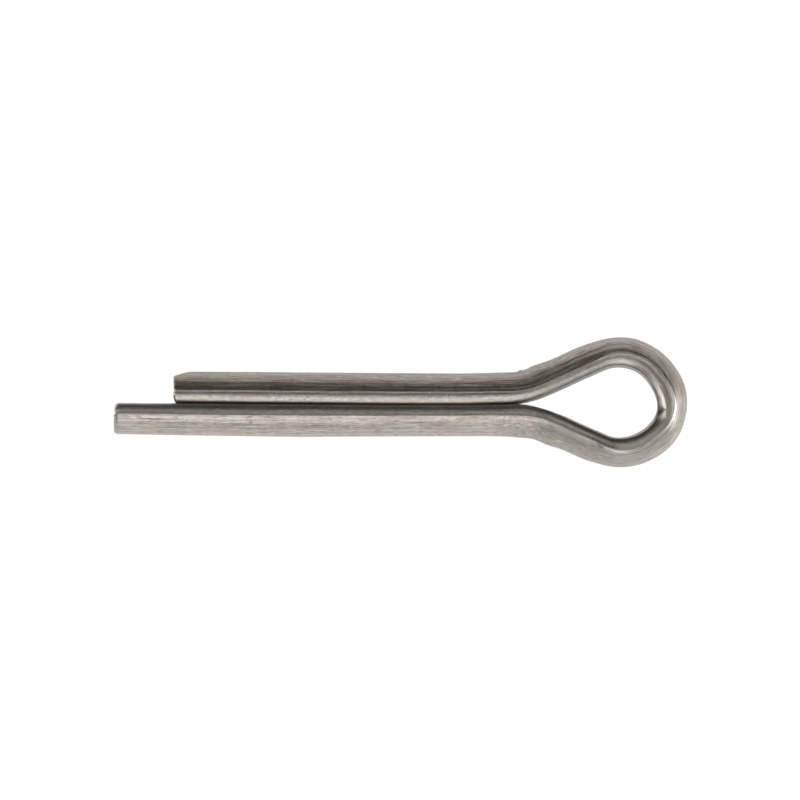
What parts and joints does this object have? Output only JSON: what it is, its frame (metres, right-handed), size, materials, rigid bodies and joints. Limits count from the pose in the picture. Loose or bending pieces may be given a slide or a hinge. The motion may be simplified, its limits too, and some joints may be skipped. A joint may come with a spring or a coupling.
{
  "type": "split cotter pin",
  "caption": "Split pin of half-round steel wire, folded flat to flat from a round eye, with legs of unequal length.",
  "frame": {"origin": "on the shank's axis, where the closed legs start to part at the neck of the eye", "axes": "+X along the shank's axis towards the eye, with the tips at -X; +Y across the two legs, towards the short one; +Z square to the flat loop, up from the surface that the pin lies on"},
  "size_m": [0.0317, 0.0072, 0.0032],
  "materials": {
    "steel": "bare drawn steel, scratched along the wire on its round back and smoother on its shoulders"
  },
  "bodies": {
    "root": {"cotter_pin": "steel"}
  },
  "joints": []
}
